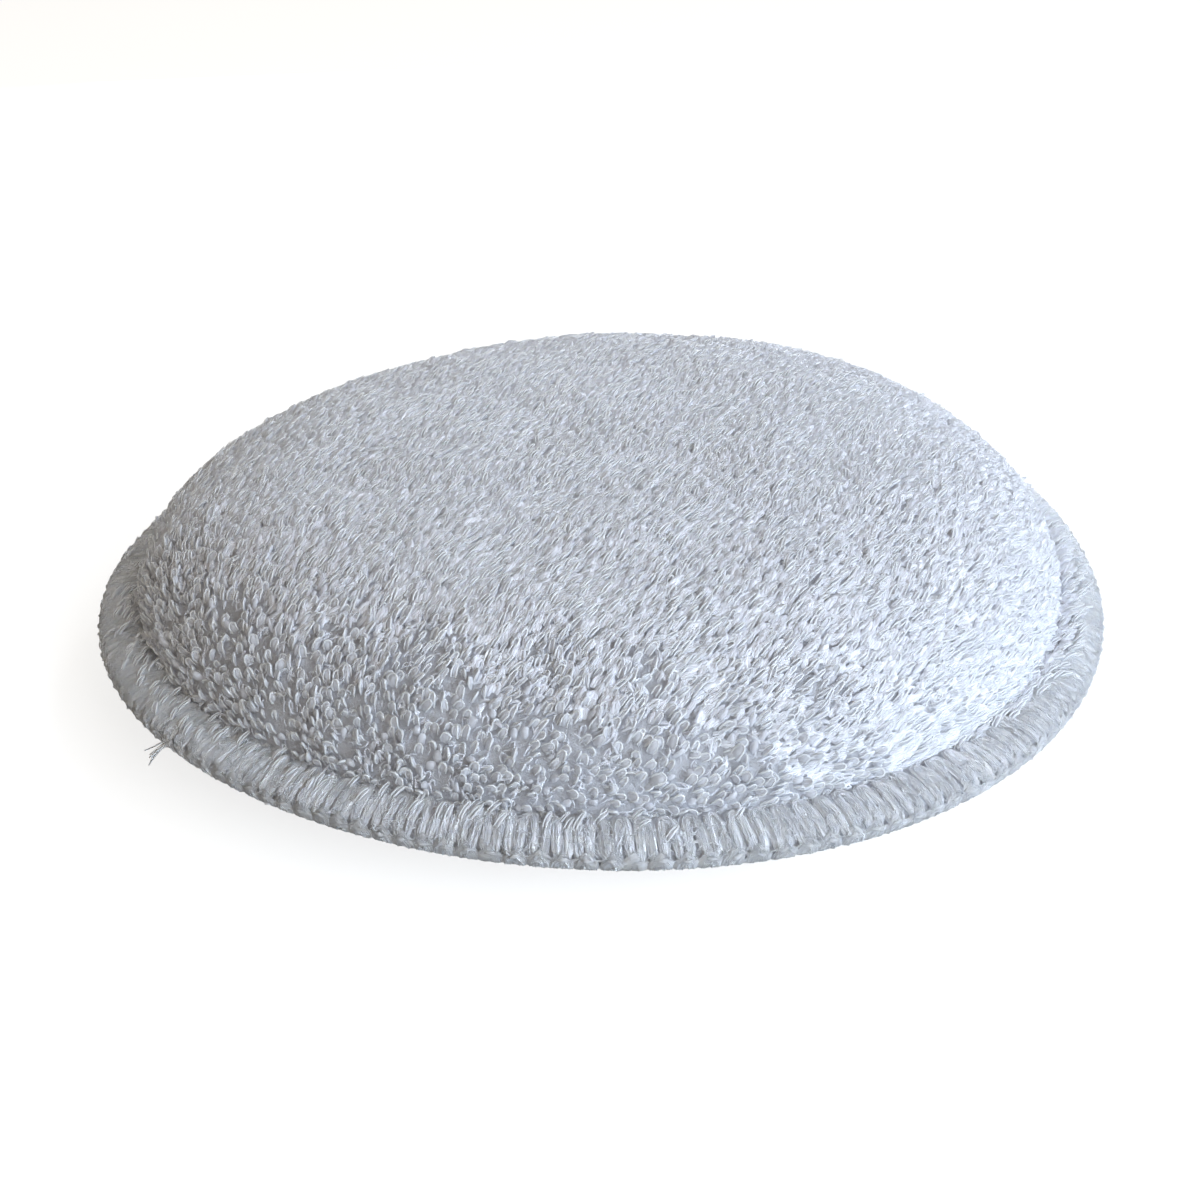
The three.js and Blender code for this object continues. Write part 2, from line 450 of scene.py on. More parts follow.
def tube_faces(tubes, rings, sides, closed, segments_per_cell):
    """The faces of many tubes whose points are in order, and their corners' places on the bake's map."""
    segments = rings if closed else rings - 1
    grid = np.meshgrid(*map(np.arange, (tubes, segments, sides)), indexing="ij")
    tube, segment, side = (a.ravel() for a in grid)

    def point(ring, turn):
        return (tube * rings + ring % rings) * sides + turn % sides

    steps = [(segment, side), (segment, side + 1), (segment + 1, side + 1), (segment + 1, side)]
    quads = np.stack([point(*step) for step in steps], -1)
    cell = (tube * segments + segment) // segments_per_cell
    count = tubes * segments // segments_per_cell
    near = segment % segments_per_cell / segments_per_cell
    far = near + 1 / segments_per_cell
    low = side / sides
    high = low + 1 / sides
    places = [(near, low), (near, high), (far, high), (far, low)]
    maps = np.stack([cells(count, cell, across, up) for across, up in places], 1)
    groups = [(quads, maps)]
    if not closed:
        turn = np.arange(sides)
        cap_cell = np.repeat(np.arange(tubes), sides).reshape(tubes, sides)
        cap_place, cap_size = 0.03, 0.02
        cap_across = cap_place + cap_size * np.cos(FULL_TURN * turn / sides)
        cap_up = cap_place + cap_size * np.sin(FULL_TURN * turn / sides)
        cap_map = cells(tubes, cap_cell, cap_across, cap_up)
        first = np.arange(tubes)[:, None] * rings * sides
        groups.append((first + turn[::-1], cap_map))
        groups.append((first + (rings - 1) * sides + turn, cap_map))
    return groups


def add_mesh(name, points, groups, material):
    """Makes a piece from points and groups of faces, each with its corners' places on the bake's map."""
    corners = np.concatenate([faces.ravel() for faces, _ in groups]).astype(np.int32)
    sizes = np.concatenate([np.full(len(faces), faces.shape[1]) for faces, _ in groups])
    starts = np.concatenate([[0], np.cumsum(sizes)[:-1]]).astype(np.int32)
    maps = np.concatenate([places.reshape(-1, 2) for _, places in groups]).astype(np.float32)
    mesh = bpy.data.meshes.new(name)
    mesh.vertices.add(len(points))
    mesh.vertices.foreach_set("co", points.astype(np.float32).ravel())
    mesh.loops.add(len(corners))
    mesh.loops.foreach_set("vertex_index", corners)
    mesh.polygons.add(len(sizes))
    mesh.polygons.foreach_set("loop_start", starts)
    mesh.update(calc_edges=True)
    mesh.uv_layers.new(name="OFBake").uv.foreach_set("vector", maps.ravel())
    mesh.shade_smooth()
    mesh.materials.append(material)
    piece = bpy.data.objects.new(name, mesh)
    bpy.context.scene.collection.objects.link(piece)
    return piece


def tube_mesh(name, tubes, material, stitch_rings=None):
    """Makes one piece of many tubes. With stitch_rings, their rings for each stitch, they close."""
    count, rings, sides = tubes.shape[:3]
    groups = tube_faces(count, rings, sides, stitch_rings is not None, stitch_rings or rings - 1)
    return add_mesh(name, tubes.reshape(-1, 3), groups, material)


def carry(piece, slot, *nodes):
    """The pad is one body. nodes are the CAD pieces that this piece stands for."""
    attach(piece, "root")
    if nodes:
        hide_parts(*nodes)
    return piece


def rings_round(centres, first, second, half_first, half_second, sides):
    """Rings of points round the centres, in the plane of the two directions."""
    turn = FULL_TURN * (np.arange(sides) + 0.5) / sides
    first = first * half_first
    second = second * half_second
    spokes = first[..., None, :] * np.cos(turn)[:, None] + second[..., None, :] * np.sin(turn)[:, None]
    return centres[..., None, :] + spokes


def round_tubes(centres, tangent, upper, half, sides):
    """Rings of points for tubes of this half thickness along lines. upper is about the way up from them."""
    second = unit(np.cross(tangent, upper))
    first = np.cross(second, tangent)
    return rings_round(centres, first, second, half, half, sides)


def along_ring(places):
    """The way along a line that closes on itself."""
    return unit(np.roll(places, -1, 0) - np.roll(places, 1, 0))


# Materials


def new_material(name, roughness, sheen, scatter=0.0, specular=0.12, sheen_roughness=0.5):
    """A fabric material, its nodes and its shader. scatter is how far light wanders under its surface."""
    material = bpy.data.materials.new(name)
    material.use_nodes = True
    shader = material.node_tree.nodes["Principled BSDF"]
    shader.subsurface_method = "BURLEY"
    values = {
        "Subsurface Weight": 1.0 if scatter else 0.0,
        "Subsurface Radius": (1, 1, 1),
        "Subsurface Scale": scatter,
        "Roughness": roughness,
        "Specular IOR Level": specular,
        "Sheen Weight": sheen,
        "Sheen Roughness": sheen_roughness,
    }
    for socket, value in values.items():
        shader.inputs[socket].default_value = value
    return material, material.node_tree, shader


def add_node(tree, kind, **values):
    node = tree.nodes.new(kind)
    for name, value in values.items():
        if name in node.inputs:
            node.inputs[name].default_value = value
        else:
            setattr(node, name, value)
    return node


def pattern(tree, kind, feature, **values):
    """A texture over the piece whose features are about this big."""
    texture = add_node(tree, kind, Scale=1 / feature, **values)
    places = add_node(tree, "ShaderNodeTexCoord").outputs["Object"]
    tree.links.new(places, texture.inputs["Vector"])
    return texture


def tinted(tree, value, tints, stops=(0, 1)):
    """The colour that runs between two tints as a value goes from one stop to the other."""
    ramp = add_node(tree, "ShaderNodeValToRGB")
    for element, stop, tint in zip(ramp.color_ramp.elements, stops, tints):
        element.position = stop
        element.color = (*tint, 1)
    tree.links.new(value, ramp.inputs["Fac"])
    return ramp.outputs["Color"]


def mottled(tree, shader, feature, tints):
    """Runs the colour between two tints in soft patches about this big."""
    noise = pattern(tree, "ShaderNodeTexNoise", feature, Detail=2.0)
    colour = tinted(tree, noise.outputs["Fac"], tints, stops=(0.35, 0.65))
    tree.links.new(colour, shader.inputs["Base Color"])


def raised(tree, shader, height, strength, depth):
    """Raises the surface as a bump."""
    bump = add_node(tree, "ShaderNodeBump", Strength=strength, Distance=depth)
    tree.links.new(height, bump.inputs["Height"])
    tree.links.new(bump.outputs["Normal"], shader.inputs["Normal"])


def fibrous(tree, shader, feature, depth):
    """Fine fibres as a bump."""
    noise = pattern(tree, "ShaderNodeTexNoise", feature, Detail=3.0, Roughness=0.6)
    raised(tree, shader, noise.outputs["Fac"], strength=0.6, depth=depth)


def pile_material():
    material, tree, shader = new_material("terry_pile", roughness=0.7, sheen=0.25, scatter=0.8 * MM)
    mottled(tree, shader, feature=1.4 * MM, tints=TERRY_TINTS)
    fibrous(tree, shader, feature=0.12 * MM, depth=0.03 * MM)
    return material


def painted_highlight_crest_material():
    """The glossy yarn round the loops that catches the light, its colour painted brighter than the pile's as
    a highlight.
    """
    material, tree, shader = new_material(
        "terry_crest_painted_highlight", roughness=0.25, sheen=0.2, scatter=0.3 * MM, specular=1.0, sheen_roughness=0.3
    )
    mottled(tree, shader, feature=1.4 * MM, tints=HIGHLIGHT_CREST_TINTS)
    return material


def ground_material():
    material, tree, shader = new_material("terry_ground", roughness=0.8, sheen=0.2, scatter=2.4 * MM)
    mottled(tree, shader, feature=0.5 * MM, tints=TERRY_TINTS)
    fibrous(tree, shader, feature=0.4 * MM, depth=0.4 * MM)
    return material


def yarn_material():
    material, tree, shader = new_material("edge_yarn", roughness=0.6, sheen=0.25, scatter=0.8 * MM)
    mottled(tree, shader, feature=0.8 * MM, tints=YARN_TINTS)
    fibrous(tree, shader, feature=0.3 * MM, depth=0.12 * MM)
    return material


def foam_material():
    """Foam with open cells, tinted darker and warmer in their pits as painted shade."""
    material, tree, shader = new_material("foam", roughness=0.85, sheen=0.1)
    cell = pattern(tree, "ShaderNodeTexVoronoi", feature=0.9 * MM)
    # Darker and warmer where the cells dip: painted shade in the pits
    colour = tinted(tree, cell.outputs["Distance"], FOAM_AND_PIT_SHADE_TINTS, stops=(0.1, 0.6))
    tree.links.new(colour, shader.inputs["Base Color"])
    raised(tree, shader, cell.outputs["Distance"], strength=0.7, depth=0.3 * MM)
    return material


PILE = pile_material()
HIGHLIGHT_CREST = painted_highlight_crest_material()
GROUND = ground_material()
YARN = yarn_material()
FOAM = foam_material()


# Ground cloth and foam


def turned_solid(name, points, shares, inside, material):
    """A closed solid turned round the pad. points has, for each direction round it, the same walk from near
    the middle and back to it. shares says how far out each point lies on the bake's map, and inside, on
    which disc."""
    around, rings = points.shape[:2]
    turn, ring = (a.ravel() for a in np.meshgrid(np.arange(around), np.arange(rings - 1), indexing="ij"))

    def map_at(corner_turn, corner_ring, is_inside):
        angle = FULL_TURN * corner_turn / around
        centre = np.where(is_inside, 0.75, 0.25)
        share = shares[corner_ring]
        half_width, half_height = 0.23 * share, 0.46 * share
        return np.stack([centre + half_width * np.cos(angle), 0.5 + half_height * np.sin(angle)], -1)

    steps = [(turn, ring), (turn, ring + 1), (turn + 1, ring + 1), (turn + 1, ring)]
    quads = np.stack([t % around * rings + r for t, r in steps], -1)
    maps = np.stack([map_at(t, r, inside[ring + 1]) for t, r in steps], 1)
    every = np.arange(around)
    first_map = map_at(every, np.zeros(around, int), inside[0])
    last_map = map_at(every, np.full(around, rings - 1), inside[-1])
    groups = [
        (quads, maps),
        ((every * rings)[None], first_map[None]),
        ((every * rings + rings - 1)[None, ::-1], last_map[None, ::-1]),
    ]
    return add_mesh(name, points.reshape(-1, 3), groups, material)


def cloth_shell(name, cover):
    """The ground cloth of one cover: out over its crown to the cut edge, and back along its inner side."""
    steps = math.ceil(cover.outline.length / CLOTH_STEP)
    out = np.linspace(CLOTH_STEP, cover.outline.length, steps)
    back = out[::-2]
    distance = np.concatenate([out, back])
    inside = np.concatenate([np.zeros(len(out), bool), np.ones(len(back), bool)])
    turn = FULL_TURN * np.arange(CLOTH_AROUND) / CLOTH_AROUND
    across, along = distance * np.cos(turn)[:, None], distance * np.sin(turn)[:, None]
    points, _, _, away = cover.frame(across, along)
    lining = points - away * GROUND_THICKNESS
    seam = points.copy()
    seam[..., 2] = SEAM_HEIGHT + cover.side * SEAM_GAP
    lining = np.where(distance[:, None] > cover.foot_distance, seam, lining)
    points = np.where(inside[:, None], lining, points)
    if cover.side < 0:
        points, distance, inside = points[:, ::-1], distance[::-1], inside[::-1]
    return turned_solid(name, points, distance / cover.outline.length, inside, GROUND)


def foam_disc():
    """The foam fills the room between the covers."""
    inset = PILE_HEIGHT + GROUND_THICKNESS + CORE_CLEARANCE
    back_inset = BACK_PILE_HEIGHT + GROUND_THICKNESS + CORE_CLEARANCE
    radius = NEEDLE_RADIUS - GROOVE_HALF_WIDTH - inset
    powers = CROWN_ACROSS_POWER, CROWN_UP_POWER
    across, up = superellipse(radius, CROWN_TOP - inset - SEAM_HEIGHT, *powers, CORE_STEPS)
    _, down = superellipse(radius, SEAM_HEIGHT - back_inset, *powers, CORE_STEPS)
    radii = np.concatenate([across[1:], across[-2:0:-1]])
    heights = SEAM_HEIGHT + np.concatenate([up[1:], -down[-2:0:-1]])
    around = CLOTH_AROUND // 2
    turn = FULL_TURN * np.arange(around)[:, None] / around
    spread = radii * roundness(turn)
    level = np.broadcast_to(heights, spread.shape)
    points = np.stack([spread * np.cos(turn), spread * np.sin(turn), level], -1)
    return turned_solid("foam_disc", points, radii / radius, heights < SEAM_HEIGHT, FOAM)


face = Cover(1, CROWN_TOP, PILE_HEIGHT)
back = Cover(-1, -REST_FLATTENING, BACK_PILE_HEIGHT)
face_cloth = carry(cloth_shell("face_cloth", face), "terry", "face_cover")
back_cloth = carry(cloth_shell("back_cloth", back), "terry", "back_cover")
carry(foam_disc(), "foam", "foam_core")


# Pile


def facing(turn, azimuth, low, high):
    """How much a direction faces an azimuth: 0 where the cosine between them is low, 1 where it is high."""
    return smooth_step(low, high, np.cos(turn - azimuth))


def lay_direction(places):
    """The level way in which the pile lies over."""
    azimuth = LAY_AZIMUTH + LAY_TURN_AT_FRONT * (places[:, 1] / LAY_TURN_REACH) ** 2
    return np.stack([np.cos(azimuth), np.sin(azimuth)], -1)


def against_lay(roots, out):
    """How far the cloth faces against the pile's lay, from -1 to 1."""
    return -(out[:, :2] * lay_direction(roots)).sum(-1)


def laidness(against):
    """1 where the cloth falls gently away along the lay, so that its pile lies flattest."""
    return smooth_step(*LAID_SLOPES, -against) * (1 - smooth_step(*STEEP_SLOPES, -against))


def pile_places(cover, pitch, stray_reach):
    """Places of the loops on the cut disc, in rows. A few stray ones may stand between the stitches."""
    foot = cover.foot_distance + PILE_REACH
    reach = foot + max(stray_reach, OVERHANG)
    rows = np.arange(-reach, reach, pitch)
    steps = np.arange(-reach, reach, STEP_PER_PITCH * pitch)
    row, step = (a.ravel() for a in np.meshgrid(rows, steps, indexing="ij"))
    step = step + pitch / 2 * (np.round(row / pitch) % 2)
    row = row + random.normal(0, ROW_SCATTER * pitch, row.shape)
    step = step + random.normal(0, STEP_SCATTER * pitch, step.shape)
    across = step * np.cos(LAY_AZIMUTH) - row * np.sin(LAY_AZIMUTH)
    along = step * np.sin(LAY_AZIMUTH) + row * np.cos(LAY_AZIMUTH)
    distance = np.hypot(across, along)
    turn = np.arctan2(along, across)
    share = STRAY_SHARE * facing(turn, STRAY_AZIMUTH, -0.1, 0.7)
    stray = (random.uniform(0, 1, len(distance)) < share) & (stray_reach > 0)
    most = OVERHANG if stray_reach else LOW_OVERHANG
    hanging = most * facing(turn, OVERHANG_AZIMUTH, -0.1, 0.9)
    lying_on = LAY_REACH * np.clip(np.cos(turn - LAY_AZIMUTH), 0, 1)
    near = foot + np.maximum(hanging - lying_on, 0)
    kept = (distance < np.where(stray, reach, near)) & (distance > MIDDLE_CLEARANCE)
    return across[kept], along[kept]


class Bend:
    """The middle lines of loops. Each rises from its root along out and bends over towards lean. early is 0
    where it bends evenly, and 1 where it bends near its root. plane turns the loop's own side round the line
    at its root, and twist turns it on by the tip."""

    def __init__(self, roots, out, lean, length, bend, early, plane, twist):
        self.roots = roots[:, None, :]
        self.out, self.lean = out[:, None, :], lean[:, None, :]
        self.side = np.cross(self.out, self.lean)
        self.length, self.bend, self.early, self.plane, self.twist = (
            a[:, None, None] for a in (length, bend, early, plane, twist)
        )
        steps = (np.arange(WALK_STEPS) + 0.5) / WALK_STEPS
        walk = self.bend[..., 0] * steps * (1 + self.early[..., 0] * (1 - steps))
        walked = np.stack([np.cumsum(np.sin(walk), 1), np.cumsum(np.cos(walk), 1)], -1) / WALK_STEPS
        self.walked = np.concatenate([np.zeros_like(walked[:, :1]), walked], 1)

    def at(self, reach):
        """Points a share reach along the lines, the loops' own side there and the way to their upper face."""
        walked = self.walked[:, np.round(reach * WALK_STEPS).astype(int)]
        reach = reach[None, :, None]
        angle = self.bend * reach * (1 + self.early * (1 - reach))
        forward = np.cos(angle) * self.lean - np.sin(angle) * self.out
        upper = -forward
        turned = self.plane + self.twist * reach
        beside = np.cos(turned) * self.side + np.sin(turned) * upper
        above = np.cos(turned) * upper - np.sin(turned) * self.side
        centres = self.roots + self.length * (walked[..., :1] * self.lean + walked[..., 1:] * self.out)
        return centres, beside, above


def loop_yarn(line, width, lift, yarn, shares, sides, lumps):
    """The yarn of loops: up along the line on one side and back on the other, lift above it."""
    shares = np.array(shares)
    centres, beside, above = line.at(shares[:, 0])
    aside = width[:, None, None] / 2 * shares[None, :, 1:]
    centres = centres + beside * aside + above * lift[:, None, None]
    tangent = unit(np.gradient(centres, axis=1))
    return lumpy(centres, round_tubes(centres, tangent, above, yarn[:, None, None] / 2, sides), lumps)


def loop_fill(line, width, depth, lumps):
    """The soft middle of loops, a flattened finger with a round end."""
    shares = np.array(FILL_SHARES)
    centres, beside, above = line.at(shares[:, 0])
    thick = shares[None, :, 1:]
    half_width = thick * width[:, None, None] / 2
    half_depth = thick * depth[:, None, None] / 2
    return lumpy(centres, rings_round(centres, beside, above, half_width, half_depth, FILL_SIDES), lumps)


def lumpy(centres, tubes, lumps):
    middle = centres[:, :, None, :]
    return middle + (tubes - middle) * (1 + lumps * random.normal(0, 1, (*tubes.shape[:3], 1)))


def stance(cover, pitch, tangle, stray_reach=0.0):
    """Where the loops of one cover stand and how: which way from the middle each is, its root, the way out,
    its lean and how upright it is. tangle is how far the ones that stand turn out of their lay."""
    across, along = pile_places(cover, pitch, stray_reach)
    roots, right, ahead, out = cover.frame(across, along)
    distance = np.hypot(across, along)
    past_foot = distance - cover.foot_distance
    turn = np.arctan2(along, across)
    lay = lay_direction(roots)
    outward = np.stack([across, along], -1) / distance[:, None]
    against = against_lay(roots, out)
    patches = STANDING_WANDER * rolling(STANDING_PATCH)(across, along)
    standing = smooth_step(*STANDING_SLOPES, against + patches)
    in_groove = np.exp(-(((past_foot - GROOVE_REACH / 2) / GROOVE_REACH) ** 2))
    fill = GROOVE_FILL * facing(turn, OVERHANG_AZIMUTH, 0.2, 0.9) * in_groove
    sink = LAID_SINK * laidness(against) - fill - STRAY_LIFT * (past_foot > STRAY_START)
    roots = roots - out * sink[:, None]
    low = smooth_step(-LOW_START, -LOW_END, past_foot)
    downhill = np.clip((outward * lay).sum(-1) + 0.5, 0, 1)
    way = mix(lay, outward, (low * downhill / 2)[:, None])
    heading = np.arctan2(way[:, 1], way[:, 0]) + HEADING_WANDER * rolling(HEADING_PATCH)(across, along)
    spread = mix(LAID_TANGLE, tangle * (1 - LOW_CALM * low), standing)
    heading = heading + spread * random.normal(0, 1, len(across))
    lean = unit(right * np.cos(heading)[:, None] + ahead * np.sin(heading)[:, None])
    return turn, roots, out, lean, standing


def thinned(loops, wall_share):
    """Leaves some of the loops out where they stand."""
    standing = loops[-1]
    kept = random.uniform(0, 1, len(standing)) < mix(1, wall_share, standing)
    return [values[kept] for values in loops]


def grown(growth, roots, out, lean, standing, chances):
    """The middle lines, the sizes and the yarns' thicknesses of a pile's loops. Each has six chances."""

    def scattered(name, chance, is_angle=False):
        lying, upright, lying_scatter, upright_scatter = growth[name]
        amount = mix(lying, upright, standing)
        scatter = mix(lying_scatter, upright_scatter, standing) * chance
        return amount + scatter if is_angle else amount * (1 + scatter)

    length = scattered("length", chances[0])
    bend = np.clip(scattered("bend", chances[1], is_angle=True), *growth["bend_limits"])
    plane = scattered("plane", chances[2], is_angle=True)
    twist = scattered("twist", chances[3], is_angle=True)
    roots = roots - out * mix(*growth["sink"], standing)[:, None]
    line = Bend(roots, out, lean, length, bend, mix(*growth["early"], standing), plane, twist)
    return line, scattered("size", chances[4]), scattered("yarn", chances[5])


def fluff_loops():
    """The low, soft loops that fill the face."""
    *places, standing = stance(face, FLUFF_PITCH, FLUFF_TANGLE)
    turns, *places = thinned([*places, standing**2], WALL_FLUFF_SHARE)
    line, width, yarn = grown(FLUFF_GROWTH, *places, random.normal(0, 1, (6, len(turns))))
    return turns, loop_yarn(line, width, 0 * width, yarn, FLUFF_SHARES, FLUFF_SIDES, lumps=0.05)


def tall_loops():
    """The loops that show: which way from the middle each is, its soft middle and the yarn round it."""
    loops = stance(face, LOOP_PITCH, LOOP_TANGLE, STRAY_REACH)
    turns, roots, out, lean, standing = thinned(loops, WALL_LOOP_SHARE)
    chances = random.normal(0, 1, (6, len(turns)))
    line, size, yarn = grown(LOOP_GROWTH, roots, out, lean, standing, chances)
    depth = mix(LOOP_FILL_DEPTH, WALL_FILL_DEPTH, standing)
    fill = loop_fill(line, LOOP_FILL_WIDTH * size, depth * size, lumps=0.04)
    lift = mix(LOOP_LIFT, WALL_LOOP_LIFT, standing)
    edge = loop_yarn(line, LOOP_WIDTH * size, lift, yarn, LOOP_SHARES, LOOP_SIDES, lumps=0.03)
    laid = laidness(against_lay(line.roots[:, 0], out))
    share = mix(mix(YARN_SHARE, WALL_YARN_SHARE, standing), LAID_YARN_SHARE, laid)
    shown = random.uniform(0, 1, len(turns)) < share
    return turns, fill, turns[shown], edge[shown]


def back_loops():
    """The pile of the back, pressed flat where the pad rests. Its loops' plane isn't turned by chance."""
    turns, *places = stance(back, BACK_PITCH, BACK_TANGLE)
    length, bend, twist, width, yarn = random.normal(0, 1, (5, len(turns)))
    line, width, yarn = grown(BACK_GROWTH, *places, (length, bend, 0 * twist, twist, width, yarn))
    tubes = loop_yarn(line, width, 0 * width, yarn, BACK_LOOP_SHARES, BACK_PILE_SIDES, lumps=0.1)
    tubes[..., 2] = np.maximum(tubes[..., 2], TABLE_GAP)
    return turns, tubes


def pile_pieces(name, turns, tubes, sectors, material):
    """The pile as one piece for each sector of the pad, so that no mesh is too large."""
    sector = np.floor((turns / FULL_TURN + 0.5) * sectors).astype(int) % sectors
    for number in range(sectors):
        carry(tube_mesh(f"{name}_{number + 1}", tubes[sector == number], material), "terry")


pile_pieces("face_fluff", *fluff_loops(), FLUFF_SECTORS, PILE)
fill_turns, loop_fills, edge_turns, loop_edges = tall_loops()
pile_pieces("face_loop_fill", fill_turns, loop_fills, LOOP_SECTORS, PILE)
# The loops' yarn uses the crest material, whose brighter tint is a painted highlight
pile_pieces("face_loop", edge_turns, loop_edges, LOOP_SECTORS, HIGHLIGHT_CREST)
pile_pieces("back_pile", *back_loops(), BACK_SECTORS, PILE)


# Overlock seam


def rim_frame(outline, distance, angle):
    """Points round the seam allowance and the way out of it."""
    before = outline.at(distance - SLOPE_STEP)
    after = outline.at(distance + SLOPE_STEP)
    radius, height = outline.at(distance)
    slope = np.arctan2(after[1] - before[1], after[0] - before[0])
    swell = roundness(angle)
    points = np.stack([radius * swell * np.cos(angle), radius * swell * np.sin(angle), height], -1)
    out = np.stack([-np.sin(slope) * np.cos(angle), -np.sin(slope) * np.sin(angle), np.cos(slope)], -1)
    return points, out


def looper_path(inner, outer, fullness_column):
    """A looper thread's way round the pad between inner and outer, which are distances along the rim's
    outline from the needle line on the face: its places, the ways across it and out, and its fullness."""
    table = np.array(STITCH_SHARES)
    steps = np.arange(RINGS_PER_STITCH) / RINGS_PER_STITCH

    def all_round(column):
        return np.tile(np.interp(steps, table[:, 0], table[:, column]), STITCH_COUNT)

    turn, reach, fullness = all_round(1), all_round(2), all_round(fullness_column)
    wander = random.normal(0, STITCH_WANDER, STITCH_COUNT)
    stretch = random.normal(1, STITCH_STRETCH, STITCH_COUNT)
    stitches = [np.arange(STITCH_COUNT), wander, stretch]
    stitch, wander, stretch = np.repeat(stitches, RINGS_PER_STITCH, axis=1)
    angle = STITCH_ANGLE * (stitch + turn + wander + SLANT * reach)
    distance = mix(inner, outer, np.clip(reach * stretch, 0, MOST_STRETCH))
    places, out = rim_frame(rim_outline(YARN_DEPTH / 2), distance, angle)
    return places, unit(np.cross(out, along_ring(places))), out, fullness


def looper_yarn(name, path, node):
    """The soft body of a looper thread: one bulky yarn that follows the path."""
    places, across, out, fullness = path
    half_width = LOOPER_HALF_WIDTH * fullness * (1 + 0.05 * soft_noise(len(places), 9))
    half_height = LOOPER_HALF_HEIGHT * np.sqrt(fullness) * (1 + 0.08 * soft_noise(len(places), 9))
    tube = rings_round(places, across, out, half_width[:, None], half_height[:, None], LOOPER_SIDES)
    carry(tube_mesh(name, tube[None], YARN, RINGS_PER_STITCH), "thread", node)


def looper_fibres(name, path, strands, stray=0.22):
    """Fine fibres that lie on a looper thread's back, and stray from it by a share of its width."""
    places, across, out, fullness = path
    tubes = []
    for strand in range(strands):
        share = np.clip((strand + 0.5) / strands * 2 - 1 + stray * soft_noise(len(places), 9), -1.15, 1.15)
        rise = np.sqrt(np.clip(1 - share**2, 0.05, 1)) + 0.1 * soft_noise(len(places), 7)
        sideways = LOOPER_HALF_WIDTH * fullness * share
        upwards = LOOPER_HALF_HEIGHT * rise * np.sqrt(fullness)
        centres = places + across * sideways[:, None] + out * upwards[:, None]
        tubes.append(round_tubes(centres, along_ring(centres), out, FIBRE / 2, FIBRE_SIDES))
    carry(tube_mesh(name, np.array(tubes), YARN, RINGS_PER_STITCH), "thread")


def knot_cord():
    """Where the two looper threads lock along the edge: a cord that swells into a knot at each stitch."""
    rings = KNOT_RINGS_PER_STITCH * STITCH_COUNT
    step = np.arange(rings)
    share = step / KNOT_RINGS_PER_STITCH
    swell = (0.5 + 0.5 * np.cos(FULL_TURN * (share - 0.5 - SLANT))) ** 2
    angle = FULL_TURN * step / rings
    distance = knot_distance + KNOT_WANDER * soft_noise(rings, 9)
    places, out = rim_frame(rim_outline(YARN_DEPTH / 2), distance, angle)
    places = places + out * (KNOT_LIFT + KNOT_THICKNESS / 4 * swell)[:, None]
    half = (KNOT_THICKNESS / 2 * (0.35 + 0.65 * swell) * (1 + 0.12 * soft_noise(rings, 5)))[:, None]
    tube = rings_round(places, out, np.cross(along_ring(places), out), half, half, KNOT_SIDES)
    carry(tube_mesh("edge_knots", tube[None], YARN, KNOT_RINGS_PER_STITCH), "thread")


def edge_fuzz():
    """Short fibres that stand out of the looper threads all over the seam allowance."""
    outline = rim_outline(YARN_DEPTH / 4)
    middle = random.uniform(0, knot_distance, FUZZ_COUNT)[:, None]
    angle = random.uniform(0, FULL_TURN, FUZZ_COUNT)[:, None]
    wild = facing(angle, STRAY_AZIMUTH, -0.1, 0.7)
    heading = random.normal(0, 1, FUZZ_COUNT)[:, None] * mix(FUZZ_SPREAD, WILD_FUZZ_SPREAD, wild)
    half_length = FUZZ_LENGTH / 2 * random.uniform(*FUZZ_LENGTH_SHARES, FUZZ_COUNT)[:, None]
    step = np.linspace(-1, 1, FUZZ_RINGS)
    distance = np.clip(middle + half_length * step * np.cos(heading), 0, knot_distance)
    angle = angle + half_length * step * np.sin(heading) / PAD_RADIUS
    places, out = rim_frame(outline, distance, angle)
    arch = random.uniform(*FUZZ_LIFT_SHARES, FUZZ_COUNT)[:, None] * (1 - step**2)
    places = places + out * (FUZZ_LIFT * arch - FIBRE / 2)[..., None]
    tangent = unit(np.gradient(places, axis=1))
    carry(tube_mesh("edge_fuzz", round_tubes(places, tangent, out, FIBRE / 2, FIBRE_SIDES), YARN), "thread")


def needle_yarn():
    """The needle thread lies in its groove and dips where each stitch goes in. Its two plies are twisted."""
    rings = NEEDLE_RINGS_PER_STITCH * STITCH_COUNT
    step = np.arange(rings)
    angle = FULL_TURN * step / rings
    outward = np.stack([np.cos(angle), np.sin(angle), np.zeros(rings)], -1)
    dip = np.abs(np.cos(math.pi * step / NEEDLE_RINGS_PER_STITCH)) ** 3
    height = SEAM_HEIGHT + RIM_HALF_HEIGHT - YARN_DEPTH + NEEDLE_LIFT - NEEDLE_DIP * dip
    centres = outward * (NEEDLE_RADIUS * roundness(angle))[:, None] + UP * height[:, None]
    tubes = []
    for ply in range(2):
        twist = math.pi * ply + FULL_TURN * step / rings * 2 * STITCH_COUNT
        offset = outward * np.cos(twist)[:, None] + UP * np.sin(twist)[:, None]
        path = centres + offset * NEEDLE_THREAD / 4
        tubes.append(rings_round(path, UP, outward, PLY_HALF_THICKNESS, PLY_HALF_THICKNESS, STRAND_SIDES))
    piece = tube_mesh("needle_yarn", np.array(tubes), YARN, NEEDLE_RINGS_PER_STITCH)
    carry(piece, "thread", "overlock_needle_thread")


